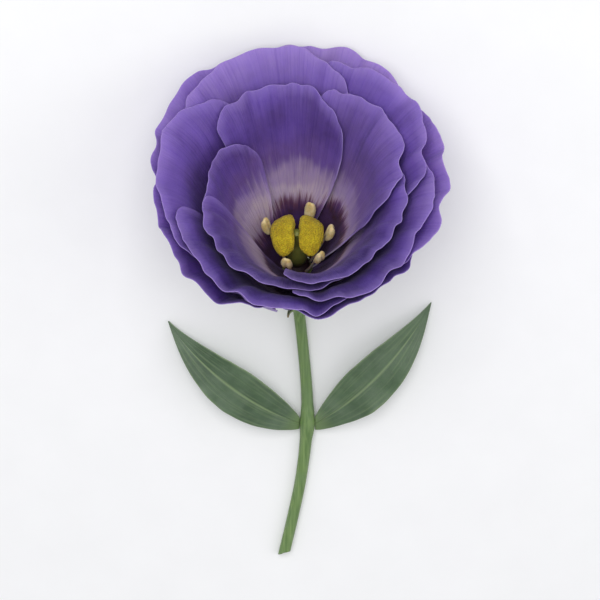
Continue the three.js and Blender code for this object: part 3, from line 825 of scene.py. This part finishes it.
def leaf_material(name, dark, light, vein_colour):
    """A mottled blade with pale veins, a paler midrib and margin, and a fresh green base."""
    made, tree, shader, place = new_material(name)
    part = part_of_blade(tree, "leaf_place")
    off_centre = maths(tree, "ABSOLUTE", part["X"])
    lines = fine_veins(tree, part, 7.0)
    colour = mixed(tree, span(tree, grain(tree, place, 130.0, 3.0), 0.3, 0.7), dark, light)
    colour = mixed(tree, span(tree, lines, 0.5, 0.7, 0.0, 0.35), colour, vein_colour)
    colour = mixed(tree, span(tree, off_centre, 0.02, 0.09, 0.75, 0.0), colour, vein_colour)
    colour = mixed(tree, span(tree, off_centre, 0.93, 1.0, 0.0, 0.6), colour, vein_colour)
    colour = mixed(tree, span(tree, part["Y"], 0.0, 0.1, 0.8, 0.0), colour, srgb(118, 142, 84))
    colour, cells = in_tissue(tree, colour, srgb(112, 130, 108), 0.35, place, 3000.0)
    set_shader(tree, shader, Base_Color=colour, Roughness=span(tree, cells, 0.2, 0.8, 0.42, 0.6),
               Subsurface_Weight=0.1, Subsurface_Scale=0.001, Subsurface_Radius=(0.4, 1.0, 0.3))
    bump(tree, shader, maths(tree, "ADD", lines, maths(tree, "MULTIPLY", cells, 0.5)), 0.0002, 0.55)
    return made


leaf_top = leaf_material("leaf_top", srgb(54, 78, 52), srgb(80, 104, 74), srgb(128, 148, 104))
leaf_under = leaf_material("leaf_under", srgb(104, 128, 104), srgb(128, 148, 122), srgb(150, 168, 130))

stations = np.linspace(0, 1, LEAF_STEPS + 1)
share = stations[:, None]
across = np.arange(LEAF_COLUMNS + 1) / LEAF_COLUMNS * 2 - 1
places = np.stack(np.broadcast_arrays(across[None, :], share, 0.0), 2)
# A blade is narrow at its base, broadest below its middle, and drawn out to a point
swell = np.sin(np.pi * share ** 0.76) ** 1.15
half_width = LEAF_BASE_HALF_WIDTH * (1 - share) * (1 - swell)
half_width = half_width + LEAF_HALF_WIDTH * swell + LEAF_LEAST_HALF_WIDTH
trough = LEAF_TROUGH * half_width * np.abs(across) ** 1.8
groove = -MIDRIB_GROOVE * np.exp(-(across / 0.07) ** 2) * (1 - share) ** 0.5
for index, (name, corners) in enumerate(LEAF_MIDRIBS.items()):
    # The midrib as a smooth run of points, with the blade set out to both sides of it
    corners = np.array([above_table(*corner) / MM for corner in corners])
    gaps = np.concatenate([[0], np.cumsum(np.linalg.norm(np.diff(corners, axis=0), axis=1))])
    curves = [np.polyfit(gaps / gaps[-1], corners[:, axis], 3) for axis in range(3)]
    midrib = np.stack([np.polyval(curve, stations) for curve in curves], 1)
    tangents = np.gradient(midrib, axis=0)
    tangents /= np.linalg.norm(tangents, axis=1)[:, None]
    flat_across = np.cross((0, 0, 1), tangents)
    flat_across /= np.linalg.norm(flat_across, axis=1)[:, None]
    flat_above = np.cross(tangents, flat_across)
    # The blade twists a little along its length
    twist = LEAF_TWISTS[name] * np.sin(np.pi * stations)[:, None]
    sideways = flat_across * np.cos(twist) + flat_above * np.sin(twist)
    above = np.cross(tangents, sideways)
    # The two halves of the blade wave each in its own way
    seed = 400 + 20 * index
    sway = LEAF_SWAY * ripple(stations * 1.5, seed, 3)[:, None] * np.sign(across)
    sway = sway + LEAF_FINE_SWAY * ripple(share * 2.3 + 0.4 * np.sign(across), seed + 1, 4)
    lift = trough + groove + sway * across ** 2 * swell
    flat = -across * half_width
    points = midrib[:, None] + sideways[:, None] * flat[..., None] + above[:, None] * lift[..., None]
    # The base runs on until it meets the round of the stem's joint
    joint = BLOOM_BASE.x + JOINT_PLACE
    joint_edge = joint + math.copysign(JOINT_REACH, midrib[0, 0] - joint)
    missing = (joint_edge - points[0, :, 0]) / tangents[0, 0]
    points += tangents[:, None] * (missing[None, :] * (1 - ease(share, 0.0, 0.16)))[..., None]
    leaf = blade(f"{name}_blade", LEAF_COLUMNS, LEAF_STEPS, points.reshape(-1, 3),
                 places.reshape(-1, 3), "leaf_place")
    thicken(leaf, LEAF_THICKNESS, (leaf_top, leaf_under, leaf_under))
    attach(leaf, "root")
    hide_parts(name)

# ---------------------------------------------------------------------------------------------
# The studio: a plain pale floor, soft light from above and in front, and the camera, which looks
# down on the flower and sees its bloom from 30 degrees off its axis.
# ---------------------------------------------------------------------------------------------

FLOOR_SIZE = 8
SKY_COLOUR = (0.97, 0.98, 1.0, 1)
SKY_STRENGTH = 0.52
LAMP_SIZE = 0.6

deselect()
bpy.ops.mesh.primitive_plane_add(size=FLOOR_SIZE, location=(0, 0, 0))
floor = bpy.context.active_object
floor.name = "studio_floor"
studio_paper, tree, shader, place = new_material("studio_paper")
paper = mixed(tree, grain(tree, place, 90.0, 3.0), srgb(240, 240, 241), srgb(245, 245, 246))
set_shader(tree, shader, Base_Color=paper, Roughness=0.8)
floor.data.materials.append(studio_paper)

scene = bpy.context.scene
scene.view_settings.view_transform = "Standard"
studio = bpy.data.worlds.new("studio")
studio.use_nodes = True
background = studio.node_tree.nodes["Background"]
background.inputs["Color"].default_value = SKY_COLOUR
background.inputs["Strength"].default_value = SKY_STRENGTH
scene.world = studio


def soft_light(name, place, aim, power):
    lamp = bpy.data.lights.new(name, "AREA")
    lamp.size = LAMP_SIZE
    lamp.energy = power
    made = bpy.data.objects.new(name, lamp)
    made.location = place
    made.rotation_euler = (Vector(aim) - Vector(place)).to_track_quat("-Z", "Y").to_euler()
    scene.collection.objects.link(made)


soft_light("key_light", (-0.08, 0.5, 0.8), (0, 0.02, 0.02), 5.8)
soft_light("fill_light", (0.6, 0.15, 0.6), (0, 0, 0.02), 1.0)

CAMERA_HEIGHT = math.radians(65)
CAMERA_BACK = Vector((0, math.cos(CAMERA_HEIGHT), math.sin(CAMERA_HEIGHT)))
CAMERA_UP = Vector((0, math.sin(CAMERA_HEIGHT), -math.cos(CAMERA_HEIGHT)))
CAMERA_TARGET = Vector((0, 0.006, 0.0102))
CAMERA_DISTANCE = 0.62
FOCAL_LENGTH = 175
SENSOR_WIDTH = 36
lens = bpy.data.cameras.new("camera")
lens.lens = FOCAL_LENGTH
lens.sensor_width = SENSOR_WIDTH
camera = bpy.data.objects.new("camera", lens)
axes = Matrix((Vector((1, 0, 0)), CAMERA_UP, CAMERA_BACK)).transposed()
camera.matrix_world = Matrix.Translation(CAMERA_TARGET + CAMERA_BACK * CAMERA_DISTANCE) @ axes.to_4x4()
scene.collection.objects.link(camera)
scene.camera = camera
